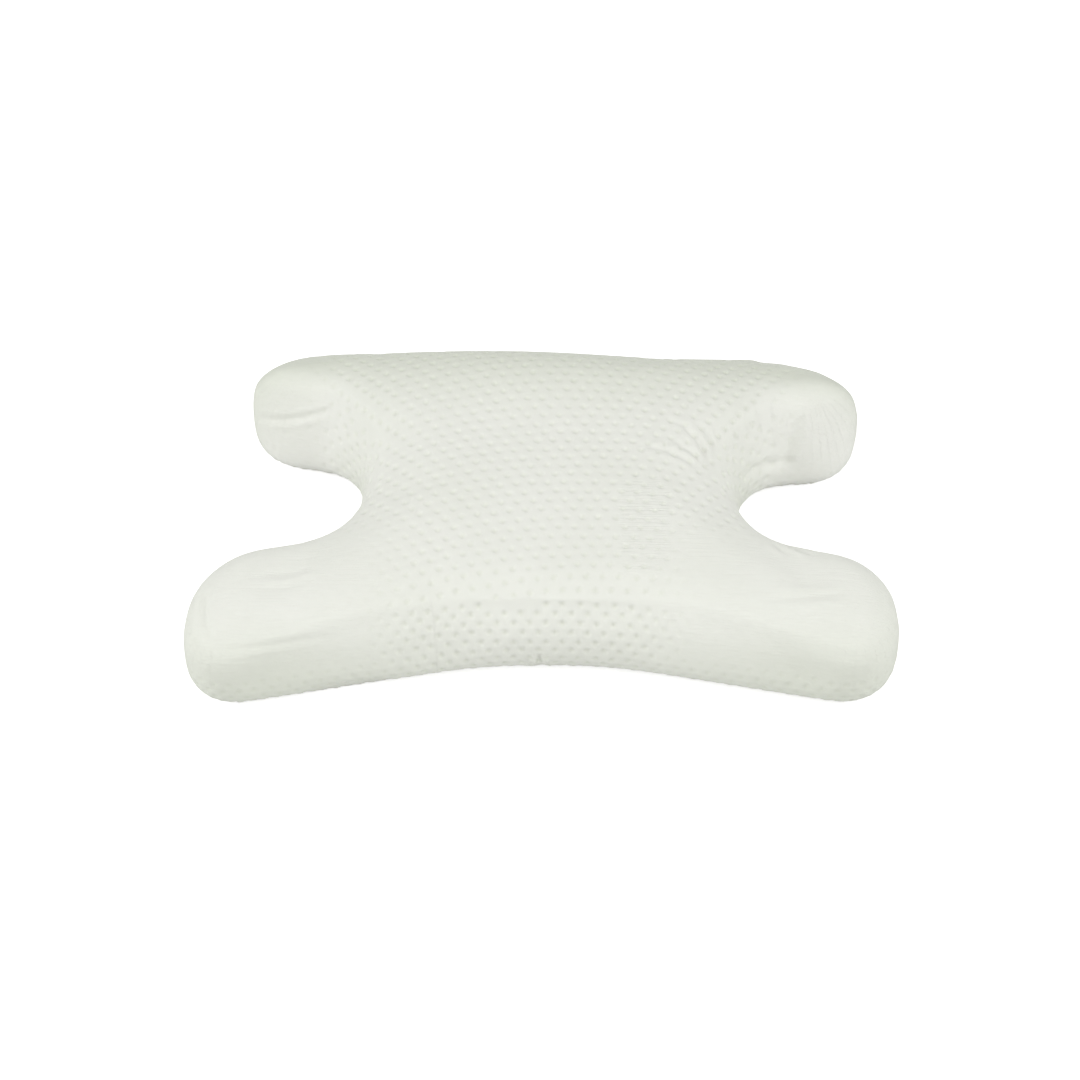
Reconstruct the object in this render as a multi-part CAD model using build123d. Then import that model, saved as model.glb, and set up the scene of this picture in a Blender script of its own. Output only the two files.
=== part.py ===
from build123d import *
import math
import os

# Contoured cervical pillow: a moulded foam core in a knit cover of two panels, closed by a zip.
# +X runs along the long side, -Y is the hollow neck edge, +Z is up.
# The origin is on the surface that the pillow rests on, midway between the two side notches.

# ---- Plan of the finished pillow: corners of one half, the other half is its mirror image ----
WAIST_HALF_WIDTH = 135.0     # from the middle to the bottom of a side notch
FRONT_LOBE_REACH = 115.0     # from the waist out to the end of a front lobe
REAR_LOBE_REACH = 90.0       # from the waist out to the end of a rear lobe
NECK_EDGE_Y = -115.0         # where the two straight flanks of the neck edge would meet
FRONT_LOBE_OUTER_Y = -162.0  # front lobe's corner on the neck edge
FRONT_LOBE_INNER_Y = -60.0   # front lobe's corner on the notch
NOTCH_FRONT_Y = -38.0        # the two corners at the bottom of the notch
NOTCH_REAR_Y = 62.0
REAR_LOBE_INNER_Y = 65.0     # rear lobe's corner on the notch
REAR_LOBE_OUTER_Y = 148.0    # rear lobe's corner on the rear edge
REAR_EDGE_Y = 158.0          # flat rear wall, which carries the zip

NECK_CURVE_R = 350.0
FRONT_OUTER_R = 45.0
FRONT_INNER_R = 58.0
NOTCH_FRONT_R = 60.0
NOTCH_REAR_R = 45.0
REAR_INNER_R = 42.0
REAR_OUTER_R = 44.0
REAR_BEND_R = 260.0

# ---- Side view ----
HEIGHT = 89.0                # at the crest
CREST_Y = 10.0
CROWN_R = 900.0              # arc of the top from the neck edge to the rear edge
TOP_EDGE_R = 38.0            # roll of the edges, each made of a few facets
BASE_EDGE_R = 30.0
TOP_FACETS = 3
BASE_FACETS = 2
FLAT_RISE = 0.5              # how far the flats of a hidden face may stand off its true arc
LOBE_FLAT = 3.0              # flat left inside the rolls at each corner of a lobe
ARC_SHARE = 0.98             # of a side of the plan that the arcs at its ends may use

# ---- Cover and core ----
COVER_THICKNESS = 2.0
CORE_GAP = 0.3               # between the cover and the foam
SEAM_Z = 8.0                 # the top panel wraps under the edge and meets the base panel here
SEAM_GAP = 0.2

# ---- Zip in the rear wall ----
ZIP_CHAIN_LENGTH = 260.0
ZIP_PITCH = 2.8              # tooth to tooth on one row
TOOTH_WIDTH = 1.1
TOOTH_HEIGHT = 2.0           # from the tape outward
TOOTH_OVERLAP = 0.8          # how far a tooth reaches past the zip's centre line
TOOTH_ROOT = 1.7             # from the centre line to the cord that carries the teeth
CORD_WIDTH = 1.3
TAPE_WIDTH = 12.0            # of one tape, seen and hidden
TAPE_THICKNESS = 0.5
TAPE_PARTING = 1.2           # from the centre line to a tape's inner edge
TAPE_SPARE = 15.0            # tape beyond each end of the chain
REAR_SPARE = 14.0            # flat rear wall beyond each end of the tapes
SEWN_COVER = 1.3             # cover pressed thin where it is sewn over the tape
SEWN_GAP = 0.15
OPENING_MARGIN = 0.8         # from the slider's flank to the turned edge of the cover
OPENING_CORNER_R = 2.0
RUNNING_GAP = 0.3            # slider to chain, slider to tape, pull to slider

# ---- Slider and pull ----
SLIDER_LENGTH = 11.5
NOSE_FLARE = 0.6             # how much further the nose spreads than the tail, each side
NOSE_CORNER_R = 3.4
TAIL_CORNER_R = 1.8
FLANGE_WIDTH = 1.3
TOP_PLATE = 1.0
BACK_PLATE = 0.8
DIVIDER_WIDTH = 1.6
DIVIDER_LENGTH = 3.2
BRIDGE_LENGTH = 8.0
BRIDGE_WIDTH = 2.4
BRIDGE_BAR = 1.1
BRIDGE_FOOT = 1.5
BRIDGE_CORNER_R = 1.0
PULL_THICKNESS = 1.2
PULL_LENGTH = 27.0
PULL_WIDTH = 7.6
PULL_TIP_WIDTH = 5.6
PULL_TIP_R = 2.2
PULL_HOLE_R = 1.4
STOP_LENGTH = 2.0
STOP_WALL = 0.6
STOP_PROUD = 0.2             # the end stop stands this much over the teeth


def corner_reach(corners, i):
    """Length of side that corner i's arc uses up, on each of its two sides."""
    here, before = Vector(*corners[i][:2]), Vector(*corners[i - 1][:2])
    after = Vector(*corners[(i + 1) % len(corners)][:2])
    cosine = (before - here).normalized().dot((after - here).normalized())
    half_angle = math.acos(max(-1.0, min(1.0, cosine))) / 2
    return corners[i][2] / math.tan(half_angle)


def fitted_corners(corners):
    """The (x, y, radius) corners, with no arc longer than its two straight sides leave room for."""
    count = len(corners)
    share = [1.0] * count
    for i in range(count):
        j = (i + 1) % count
        side = math.dist(corners[i][:2], corners[j][:2])
        room = ARC_SHARE * side / (corner_reach(corners, i) + corner_reach(corners, j))
        share[i], share[j] = min(share[i], room), min(share[j], room)
    return [(x, y, radius * part) for (x, y, radius), part in zip(corners, share)]


def plan_corners():
    """Corners of the whole pillow, anticlockwise from the middle of the neck edge."""
    front_x = WAIST_HALF_WIDTH + FRONT_LOBE_REACH
    rear_x = WAIST_HALF_WIDTH + REAR_LOBE_REACH
    side = [
        (front_x, FRONT_LOBE_OUTER_Y, FRONT_OUTER_R),
        (front_x, FRONT_LOBE_INNER_Y, FRONT_INNER_R),
        (WAIST_HALF_WIDTH, NOTCH_FRONT_Y, NOTCH_FRONT_R),
        (WAIST_HALF_WIDTH, NOTCH_REAR_Y, NOTCH_REAR_R),
        (rear_x, REAR_LOBE_INNER_Y, REAR_INNER_R),
        (rear_x, REAR_LOBE_OUTER_Y, REAR_OUTER_R),
        (REAR_STRAIGHT_HALF, REAR_EDGE_Y, REAR_BEND_R),
    ]
    mirrored = [(-x, y, radius) for x, y, radius in reversed(side)]
    return fitted_corners([(0.0, NECK_EDGE_Y, NECK_CURVE_R)] + side + mirrored)


TAPE_LENGTH = ZIP_CHAIN_LENGTH + 2 * TAPE_SPARE
REAR_STRAIGHT_HALF = TAPE_LENGTH / 2 + REAR_SPARE
PLAN = plan_corners()
CUTTER_WIDTH = 3 * (WAIST_HALF_WIDTH + max(FRONT_LOBE_REACH, REAR_LOBE_REACH))  # wider than the pillow

# The zip's slider, measured out from the chain that it runs on. Depths are from the cover's
# outer face inward, so what stands proud of the cover has a negative depth.
CHAIN_HALF = TOOTH_ROOT + CORD_WIDTH
SLIDER_HALF = CHAIN_HALF + RUNNING_GAP + FLANGE_WIDTH
OPENING_HALF = SLIDER_HALF + NOSE_FLARE + OPENING_MARGIN
TAPE_OUT = SEWN_COVER + SEWN_GAP
TAPE_IN = TAPE_OUT + TAPE_THICKNESS
CHAIN_IN = TAPE_OUT - SEWN_GAP
CHAIN_OUT = CHAIN_IN - TOOTH_HEIGHT
PLATE_IN = CHAIN_OUT - RUNNING_GAP
PLATE_OUT = PLATE_IN - TOP_PLATE
BACK_OUT = TAPE_IN + RUNNING_GAP
BACK_IN = BACK_OUT + BACK_PLATE
CORE_SLACK = BACK_IN + RUNNING_GAP - COVER_THICKNESS - CORE_GAP
BAR_DEPTH = PLATE_OUT - RUNNING_GAP - PULL_THICKNESS / 2
BRIDGE_UNDER = BAR_DEPTH - PULL_THICKNESS / 2 - RUNNING_GAP

# Closed, the slider stands against the top stops at the +X end. Its travel ends at the bottom stop.
SLIDER_REST_X = ZIP_CHAIN_LENGTH / 2 - 2 * STOP_LENGTH - RUNNING_GAP - SLIDER_LENGTH / 2
BOTTOM_STOP_X = -ZIP_CHAIN_LENGTH / 2 + STOP_LENGTH
SLIDER_TRAVEL = SLIDER_REST_X - SLIDER_LENGTH / 2 - (BOTTOM_STOP_X + STOP_LENGTH / 2) - RUNNING_GAP

# The two edge rolls share the wall's height with the flat band that the zip needs, and stay
# narrow enough to leave the top and base of each lobe some width.
EDGE_SHARE = min(1.0, (HEIGHT - 2 * OPENING_HALF) / (TOP_EDGE_R + BASE_EDGE_R))
LOBE_R = min(radius for x, y, radius in PLAN if abs(x) > WAIST_HALF_WIDTH) - LOBE_FLAT
TOP_R = min(TOP_EDGE_R * EDGE_SHARE, LOBE_R)
BASE_R = min(BASE_EDGE_R * EDGE_SHARE, LOBE_R)
ZIP_Z = (BASE_R + HEIGHT - TOP_R) / 2


def plan_outline(rear_slack=0.0):
    """Face of the plan, with the flat rear wall moved in by rear_slack."""
    corners = [(x, y - rear_slack * (y == REAR_EDGE_Y), radius) for x, y, radius in PLAN]
    outline = make_face(Polyline(*[(x, y) for x, y, _ in corners], close=True))
    for x, y, radius in corners:
        outline = fillet(outline.vertices().sort_by_distance((x, y, 0))[0], radius)
    return outline


def plan_flats(inset, rear_slack):
    """Corners of the plan with its arcs drawn as flats that touch them, moved in by inset."""
    points = []
    for edge in plan_outline(rear_slack).face().outer_wire().order_edges():
        if edge.geom_type != GeomType.CIRCLE:
            continue
        turn = edge.length / edge.radius
        flats = math.ceil(turn / (2 * math.acos(edge.radius / (edge.radius + FLAT_RISE))))
        for i in range(flats):
            spoke = edge.position_at((i + 0.5) / flats) - edge.arc_center
            points.append(edge.arc_center + spoke * (1 / math.cos(turn / flats / 2)))
    if sum(p.X * q.Y - p.Y * q.X for p, q in zip(points, points[1:] + points[:1])) < 0:
        points.reverse()
    moved = []
    for i, here in enumerate(points):
        before = (here - points[i - 1]).normalized()
        after = (points[(i + 1) % len(points)] - here).normalized()
        inward = Vector(-before.Y - after.Y, before.X + after.X)
        moved.append(here + inward * (inset / (1 + before.dot(after))))
    return moved


def roll_steps(radius, facets):
    """The (inset, rise) of each step of an edge roll, from the wall to the flat."""
    turns = [math.radians(90 * i / facets) for i in range(facets + 1)]
    return [(radius * (1 - math.cos(turn)), radius * math.sin(turn)) for turn in turns]


def crowned(body, inset):
    """The body cut to the arc of the top."""
    crown = Rot(0, 90, 0) * Cylinder(CROWN_R - inset, CUTTER_WIDTH)
    return body & Pos(0, CREST_Y, HEIGHT - CROWN_R) * crown


def outer_form():
    """The finished pillow: straight walls between two rolls, each a stack of tapered slabs."""
    body = Pos(0, 0, BASE_R) * extrude(plan_outline(), HEIGHT - TOP_R - BASE_R)
    for radius, facets, place in (
        (TOP_R, TOP_FACETS, Pos(0, 0, HEIGHT - TOP_R)),
        (BASE_R, BASE_FACETS, Pos(0, 0, BASE_R) * Rot(180, 0, 0)),
    ):
        outline = plan_outline() if place.orientation.X == 0 else mirror(plan_outline(), Plane.XZ)
        steps = roll_steps(radius, facets)
        for (inset, low), (next_inset, high) in zip(steps, steps[1:]):
            ring = offset(outline, -inset, kind=Kind.INTERSECTION) if inset else outline
            taper = math.degrees(math.atan2(next_inset - inset, high - low))
            body += place * Pos(0, 0, low) * extrude(ring, high - low, taper=taper)
    return crowned(body, 0.0)


def inner_form(inset, rear_slack=0.0):
    """The pillow's form drawn in flats, every face moved in by inset and the rear by rear_slack more."""
    under = [(step, BASE_R - rise) for step, rise in roll_steps(BASE_R - inset, BASE_FACETS)]
    over = [(step, HEIGHT - TOP_R + rise) for step, rise in roll_steps(TOP_R - inset, TOP_FACETS)]
    rings = [
        [point + Vector(0, 0, z) for point in plan_flats(inset + step, rear_slack)]
        for step, z in under[::-1] + over
    ]
    faces = [Face(Wire.make_polygon(ring)) for ring in (rings[0], rings[-1])]
    for low, high in zip(rings, rings[1:]):
        for i in range(len(low)):
            faces.append(Face(Wire.make_polygon([low[i - 1], low[i], high[i], high[i - 1]])))
    return crowned(Solid(Shell(faces)), inset)


def zip_block(length, low, high, outer, inner, middle_x=0.0):
    """Box on the rear wall: heights are from the zip's centre line, depths from the cover's face."""
    place = Pos(middle_x, REAR_EDGE_Y - (outer + inner) / 2, ZIP_Z + (low + high) / 2)
    return place * Box(length, inner - outer, high - low)


def wall_solid(sketch, outer, inner, middle_x=0.0):
    """Solid from a sketch in X and height on the rear wall, between two depths."""
    laid = Pos(middle_x, REAR_EDGE_Y - outer, ZIP_Z) * Rot(90, 0, 0) * sketch
    return extrude(laid, inner - outer)


def foam_core():
    return inner_form(COVER_THICKNESS + CORE_GAP, CORE_SLACK)


def cover_panels():
    """Top panel, which wraps down every wall and under the edge, and the base panel."""
    shell = outer_form() - inner_form(COVER_THICKNESS)
    half_space = Box(CUTTER_WIDTH, CUTTER_WIDTH, 2 * HEIGHT)
    top = shell & Pos(0, 0, SEAM_Z + SEAM_GAP / 2 + HEIGHT) * half_space
    base = shell & Pos(0, 0, SEAM_Z - SEAM_GAP / 2 - HEIGHT) * half_space
    opening = RectangleRounded(ZIP_CHAIN_LENGTH, 2 * OPENING_HALF, OPENING_CORNER_R)
    top -= wall_solid(opening, -COVER_THICKNESS, 2 * COVER_THICKNESS)
    half_tapes = TAPE_PARTING + TAPE_WIDTH + 2 * SEWN_GAP
    top -= zip_block(TAPE_LENGTH + 4 * SEWN_GAP, -half_tapes, half_tapes, SEWN_COVER, 4 * COVER_THICKNESS)
    return top, base


def zip_tape(side):
    """One tape, behind the cover's turned edge. side is +1 above the centre line, -1 below."""
    near, far = sorted((side * TAPE_PARTING, side * (TAPE_PARTING + TAPE_WIDTH)))
    return zip_block(TAPE_LENGTH, near, far, TAPE_OUT, TAPE_IN)


def zip_row(side):
    """One row of teeth on its cord. The two rows stand half a pitch apart, so they mesh."""
    near, far = sorted((side * TOOTH_ROOT, side * CHAIN_HALF))
    first = BOTTOM_STOP_X + STOP_LENGTH / 2 + RUNNING_GAP
    last = SLIDER_REST_X + SLIDER_LENGTH / 2 - DIVIDER_LENGTH - RUNNING_GAP
    cord = zip_block(last - first, near, far, CHAIN_OUT, CHAIN_IN, (first + last) / 2)
    tip, root = sorted((-side * TOOTH_OVERLAP, side * (TOOTH_ROOT + CORD_WIDTH / 2)))
    start = first + (TOOTH_WIDTH + ZIP_PITCH / 2 * (1 - side)) / 2
    count = int((last - start - TOOTH_WIDTH / 2) / ZIP_PITCH) + 1
    teeth = [
        zip_block(TOOTH_WIDTH, tip, root, CHAIN_OUT, CHAIN_IN, start + i * ZIP_PITCH)
        for i in range(count)
    ]
    return cord + teeth


def slider_outline():
    """Slider seen square to the tapes: broad round nose towards +X, narrower tail."""
    half, nose = SLIDER_LENGTH / 2, SLIDER_HALF + NOSE_FLARE
    room = ARC_SHARE * 2 * half / 3
    lower = [(-half, -SLIDER_HALF), (-half / 3, -SLIDER_HALF), (half / 3, -nose), (half, -nose)]
    upper = [(x, -z) for x, z in reversed(lower)]
    outline = make_face(Polyline(*lower, *upper, close=True))
    ends = outline.vertices().group_by(Axis.X)
    outline = fillet(ends[-1], min(NOSE_CORNER_R, room))
    return fillet(outline.vertices().group_by(Axis.X)[0], min(TAIL_CORNER_R, room))


def zip_slider():
    """Two plates joined by the divider at the nose, with flanges round the chain and a bridge."""
    outline = slider_outline()
    body = wall_solid(outline, PLATE_OUT, TAPE_OUT - RUNNING_GAP, SLIDER_REST_X)
    channel = CHAIN_HALF + RUNNING_GAP
    body -= zip_block(2 * SLIDER_LENGTH, -channel, channel, PLATE_IN, TAPE_IN, SLIDER_REST_X)
    body += wall_solid(outline, BACK_OUT, BACK_IN, SLIDER_REST_X)
    divider_x = SLIDER_REST_X + (SLIDER_LENGTH - DIVIDER_LENGTH) / 2
    half_divider = DIVIDER_WIDTH / 2
    body += zip_block(DIVIDER_LENGTH, -half_divider, half_divider, PLATE_OUT, BACK_IN, divider_x)
    return body + slider_bridge()


def slider_bridge():
    """Arch on the top plate that the pull's bar passes under."""
    rise = PLATE_OUT + TOP_PLATE / 2 - (BRIDGE_UNDER - BRIDGE_BAR)
    arch = Rectangle(BRIDGE_LENGTH, rise, align=(Align.CENTER, Align.MIN))
    arch = fillet(arch.vertices().group_by(Axis.Y)[-1], BRIDGE_CORNER_R)
    window_rise = PLATE_OUT + TOP_PLATE / 2 - BRIDGE_UNDER
    arch -= Rectangle(BRIDGE_LENGTH - 2 * BRIDGE_FOOT, window_rise, align=(Align.CENTER, Align.MIN))
    place = Pos(SLIDER_REST_X, REAR_EDGE_Y - PLATE_OUT - TOP_PLATE / 2, ZIP_Z)
    return place * extrude(arch, BRIDGE_WIDTH / 2, both=True)


def pull_tab():
    """Flat pull with an eye round the bridge. Its round bar turns under the bridge."""
    eye_reach = BRIDGE_LENGTH / 2 + 2 * RUNNING_GAP
    eye_width = BRIDGE_WIDTH + 2 * RUNNING_GAP
    half, tip = PULL_WIDTH / 2, PULL_TIP_WIDTH / 2
    waist_x = -eye_reach - half
    lower = [(-PULL_LENGTH, -tip), (waist_x, -tip), (-eye_reach, -half), (0, -half)]
    upper = [(x, -z) for x, z in reversed(lower)]
    flat = make_face(Polyline(*lower, *upper, close=True))
    flat = fillet(flat.vertices().group_by(Axis.X)[0], PULL_TIP_R)
    flat -= Rectangle(eye_reach, eye_width, align=(Align.MAX, Align.CENTER))
    flat -= Pos(-PULL_LENGTH + PULL_TIP_R + PULL_HOLE_R, 0) * Circle(PULL_HOLE_R)
    outer, inner = BAR_DEPTH - PULL_THICKNESS / 2, BAR_DEPTH + PULL_THICKNESS / 2
    bar = Pos(SLIDER_REST_X, REAR_EDGE_Y - BAR_DEPTH, ZIP_Z) * Cylinder(PULL_THICKNESS / 2, PULL_WIDTH)
    return wall_solid(flat, outer, inner, SLIDER_REST_X) + bar


def top_stops():
    """A staple on the inner edge of each tape, just past the slider's nose."""
    x = SLIDER_REST_X + SLIDER_LENGTH / 2 + RUNNING_GAP + STOP_LENGTH / 2
    grip_out, grip_in = TAPE_OUT - SEWN_GAP, TAPE_IN + SEWN_GAP
    staples = []
    for side in (1, -1):
        edge = side * (TAPE_PARTING - SEWN_GAP)
        near, far = sorted((edge - side * STOP_WALL, side * CHAIN_HALF))
        staple = zip_block(STOP_LENGTH, near, far, CHAIN_OUT, grip_in + STOP_WALL, x)
        low, high = sorted((edge, side * 2 * CHAIN_HALF))
        staples.append(staple - zip_block(2 * STOP_LENGTH, low, high, grip_out, grip_in, x))
    return Compound(children=staples)


def bottom_stop():
    """Block across both tapes that the slider's tail runs up against."""
    return zip_block(STOP_LENGTH, -CHAIN_HALF, CHAIN_HALF, CHAIN_OUT - STOP_PROUD, CHAIN_IN, BOTTOM_STOP_X)


def main():
    cover_top, cover_base = cover_panels()
    nodes = {
        "foam_core": foam_core(),
        "cover_top_panel": cover_top,
        "cover_base_panel": cover_base,
        "zip_tape_upper": zip_tape(1),
        "zip_tape_lower": zip_tape(-1),
        "zip_teeth_upper": zip_row(1),
        "zip_teeth_lower": zip_row(-1),
        "zip_top_stops": top_stops(),
        "zip_bottom_stop": bottom_stop(),
        "zip_slider": zip_slider(),
        "zip_pull_tab": pull_tab(),
    }
    os.makedirs("parts", exist_ok=True)
    for name, solid in nodes.items():
        export_step(solid, f"parts/{name}.step")
    print("slider travel", round(SLIDER_TRAVEL, 2), "rest x", round(SLIDER_REST_X, 2))
    print("pull axis y", round(REAR_EDGE_Y - BAR_DEPTH, 2), "zip height", round(ZIP_Z, 2))


main()
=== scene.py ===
import math

import bmesh
import bpy
import numpy as np
from mathutils import Matrix, Vector
from mathutils.kdtree import KDTree


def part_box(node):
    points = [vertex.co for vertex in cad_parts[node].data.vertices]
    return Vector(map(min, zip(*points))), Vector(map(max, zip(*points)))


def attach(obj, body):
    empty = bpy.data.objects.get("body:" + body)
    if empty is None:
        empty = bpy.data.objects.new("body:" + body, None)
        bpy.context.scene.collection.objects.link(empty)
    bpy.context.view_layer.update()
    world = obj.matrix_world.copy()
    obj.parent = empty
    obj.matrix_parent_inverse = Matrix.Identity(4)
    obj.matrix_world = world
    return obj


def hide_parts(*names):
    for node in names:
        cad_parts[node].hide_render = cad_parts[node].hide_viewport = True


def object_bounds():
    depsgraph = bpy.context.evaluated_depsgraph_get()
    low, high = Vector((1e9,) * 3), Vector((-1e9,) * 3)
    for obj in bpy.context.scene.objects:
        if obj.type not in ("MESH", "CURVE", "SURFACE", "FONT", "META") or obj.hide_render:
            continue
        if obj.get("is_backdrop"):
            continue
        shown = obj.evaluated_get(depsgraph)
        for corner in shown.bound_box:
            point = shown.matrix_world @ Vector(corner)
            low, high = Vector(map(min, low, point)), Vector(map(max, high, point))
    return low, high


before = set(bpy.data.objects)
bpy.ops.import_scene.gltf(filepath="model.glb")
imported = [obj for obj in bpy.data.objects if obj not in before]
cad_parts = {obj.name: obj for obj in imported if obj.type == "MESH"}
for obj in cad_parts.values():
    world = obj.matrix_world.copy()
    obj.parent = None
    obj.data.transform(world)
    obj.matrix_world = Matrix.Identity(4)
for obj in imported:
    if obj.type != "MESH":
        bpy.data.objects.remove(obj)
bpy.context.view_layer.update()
cover_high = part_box("cover_top_panel")[1]

# ---- Foam core ----
# One block of slow-recovery foam, moulded with broad round edges and a gently arched top.
# The tight knit cover squeezes it, so the core and the cover share one softly swollen form.
WAIST_X = 0.138
FRONT_X = cover_high.x
REAR_X = 0.225
REAR_Y = cover_high.y
HEIGHT = cover_high.z
# x, y and radius of each side's corners, from the neck edge to the rear edge. The foam isn't even:
# the left front lobe reaches further forward, and the right rear lobe further out.
CORNERS_RIGHT = [
    (FRONT_X, -0.163, 0.041),
    (FRONT_X, -0.057, 0.054),
    (WAIST_X, -0.034, 0.060),
    (WAIST_X, 0.061, 0.045),
    (REAR_X + 0.012, 0.061, 0.041),
    (REAR_X - 0.001, 0.146, 0.040),
    (0.159, REAR_Y, 0.200),
]
CORNERS_LEFT = [
    (-FRONT_X - 0.006, -0.174, 0.038),
    (-FRONT_X - 0.003, -0.061, 0.063),
    (-WAIST_X, -0.038, 0.060),
    (-WAIST_X, 0.063, 0.045),
    (-REAR_X - 0.010, 0.076, 0.041),
    (-REAR_X + 0.002, 0.147, 0.044),
    (-0.159, REAR_Y, 0.200),
]
NECK_Y, NECK_RADIUS = -0.115, 0.350
TOP_ROLL, BASE_ROLL = 0.038, 0.030
CROWN_RADIUS, CREST_Y = 0.900, 0.010
VOXEL = 0.005
START_INSET = 0.002  # the form starts this much small, and the swelling makes it up
SWELL_REACH = 0.0045
REAR_LIFT, REAR_LIFT_X, REAR_LIFT_WIDTH = 0.0120, -0.030, 0.13
REAR_LIFT_FROM, REAR_LIFT_FULL = 0.03, 0.13
LEAN, LEAN_FROM = 0.52, 0.020  # slope of the rear lobes' front walls, and where it starts
LEAN_FADE_FROM, LEAN_FADE_TO = 0.045, 0.148
LOBE_FALL_LEFT, LOBE_FALL_RIGHT = 0.006, 0.018  # how much their tops fall at the outer ends
FALL_FROM, FALL_FULL = (0.165, 0.075), (0.240, 0.155)  # how far aside and back the fall starts and is full
FOOT_HEIGHT, FOOT_GAP = 0.012, 0.0002
SWELL_FRAMES = 20
SEAM_Z = 0.008
ZIP_Z = (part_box("zip_tape_upper")[1].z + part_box("zip_tape_lower")[0].z) / 2
ZIP_FLAT_X, ZIP_FLAT_Z = 0.146, 0.013  # half the patch of rear wall that the zip keeps flat
COVER_THICKNESS = 0.002
CORE_INSET = 0.0029
FOAM_COLOUR = (0.86, 0.79, 0.58, 1)


def smooth_step(value, low, high):
    t = np.clip((value - low) / (high - low), 0.0, 1.0)
    return t * t * (3 - 2 * t)


def piece_from(bm, name, smooth=True):
    """Object with the bmesh as its mesh. The bmesh is used up."""
    mesh = bpy.data.meshes.new(name)
    bm.to_mesh(mesh)
    bm.free()
    piece = bpy.data.objects.new(name, mesh)
    bpy.context.collection.objects.link(piece)
    mesh.shade_smooth() if smooth else mesh.shade_flat()
    return piece


def apply_modifiers(piece):
    graph = bpy.context.evaluated_depsgraph_get()
    mesh = bpy.data.meshes.new_from_object(piece.evaluated_get(graph))
    piece.modifiers.clear()
    piece.data = mesh


def points_of(mesh):
    flat = np.empty(len(mesh.vertices) * 3)
    mesh.vertices.foreach_get("co", flat)
    return flat.reshape(-1, 3)


def normals_of(mesh):
    flat = np.empty(len(mesh.vertices) * 3)
    mesh.vertex_normals.foreach_get("vector", flat)
    return flat.reshape(-1, 3)


def set_points(mesh, points):
    mesh.vertices.foreach_set("co", points.ravel())
    mesh.update()


def tree_of(places):
    """Search tree of the places, numbered in their order."""
    tree = KDTree(len(places))
    for i, place in enumerate(places):
        tree.insert(place, i)
    tree.balance()
    return tree


def plan_face(bm):
    """Face of the plan. Each corner is rounded by bevelling its vertex."""
    corners = [(0.0, NECK_Y, NECK_RADIUS)] + CORNERS_RIGHT + CORNERS_LEFT[::-1]
    face = bm.faces.new([bm.verts.new((x, y, 0)) for x, y, _ in corners])
    for x, y, radius in corners:
        vertex = min(bm.verts, key=lambda v: (v.co - Vector((x, y, 0))).length)
        side_a, side_b = (edge.other_vert(vertex).co - vertex.co for edge in vertex.link_edges)
        bmesh.ops.bevel(
            bm, geom=[vertex], affect="VERTICES", offset_type="OFFSET",
            offset=radius / math.tan(side_a.angle(side_b) / 2),
            segments=8, profile=0.5, material=-1, clamp_overlap=False,
        )
    return bm.faces[:][0]


def crown_height(y):
    return HEIGHT - CROWN_RADIUS + np.sqrt(CROWN_RADIUS**2 - (y - CREST_Y) ** 2)


def arch_top(points):
    """Lowers what is above the straight wall to the arch of the top, less so behind the middle."""
    wall_top = HEIGHT - TOP_ROLL
    lift = REAR_LIFT * np.exp(-(((points[:, 0] - REAR_LIFT_X) / REAR_LIFT_WIDTH) ** 2))
    lift *= smooth_step(points[:, 1], REAR_LIFT_FROM, REAR_LIFT_FULL)
    rise = (crown_height(points[:, 1]) + lift - wall_top) / TOP_ROLL
    above = np.maximum(points[:, 2] - wall_top, 0.0)
    points[:, 2] = np.minimum(points[:, 2], wall_top) + above * rise


def shape_rear_lobes(points):
    """Leans the front walls of the rear lobes back, and lets their tops fall towards the rear."""
    lobe = smooth_step(abs(points[:, 0]), WAIST_X - 0.010, WAIST_X + 0.035)
    front = smooth_step(points[:, 1], 0.0, 0.04)
    front *= 1 - smooth_step(points[:, 1], LEAN_FADE_FROM, LEAN_FADE_TO)
    fall = np.where(points[:, 0] < 0, LOBE_FALL_LEFT, LOBE_FALL_RIGHT)
    fall = fall * smooth_step(points[:, 1], FALL_FROM[1], FALL_FULL[1])
    fall = fall * smooth_step(abs(points[:, 0]), FALL_FROM[0], FALL_FULL[0])
    height = points[:, 2].copy()
    points[:, 1] += LEAN * np.maximum(height - LEAN_FROM, 0.0) * lobe * front
    points[:, 2] -= fall * smooth_step(height, 0.030, HEIGHT)


def swell(piece):
    """Blows the form up under its skin, and caps how far each point may go."""
    start = points_of(piece.data)
    seam = piece.vertex_groups.new(name="seam")
    held = np.exp(-(((start[:, 2] - SEAM_Z) / 0.004) ** 2))
    for i in np.nonzero(held > 0.05)[0]:
        seam.add([int(i)], float(held[i]), "REPLACE")
    cloth = piece.modifiers.new("stretch", "CLOTH")
    cloth.settings.quality = 4
    cloth.settings.use_pressure = True
    cloth.settings.uniform_pressure_force = 4.0
    cloth.settings.tension_stiffness = 8.0
    cloth.settings.compression_stiffness = 8.0
    cloth.settings.bending_stiffness = 2.0
    cloth.settings.vertex_group_mass = "seam"
    cloth.settings.pin_stiffness = 0.4
    cloth.settings.effector_weights.gravity = 0.0
    cloth.point_cache.frame_start = 1
    cloth.point_cache.frame_end = SWELL_FRAMES
    scene = bpy.context.scene
    for step in range(1, SWELL_FRAMES + 1):
        scene.frame_set(step)
    apply_modifiers(piece)
    scene.frame_set(1)
    moved = points_of(piece.data) - start
    length = np.maximum(np.linalg.norm(moved, axis=1, keepdims=True), 1e-9)
    set_points(piece.data, start + moved * (SWELL_REACH * np.tanh(length / SWELL_REACH) / length))


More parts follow.
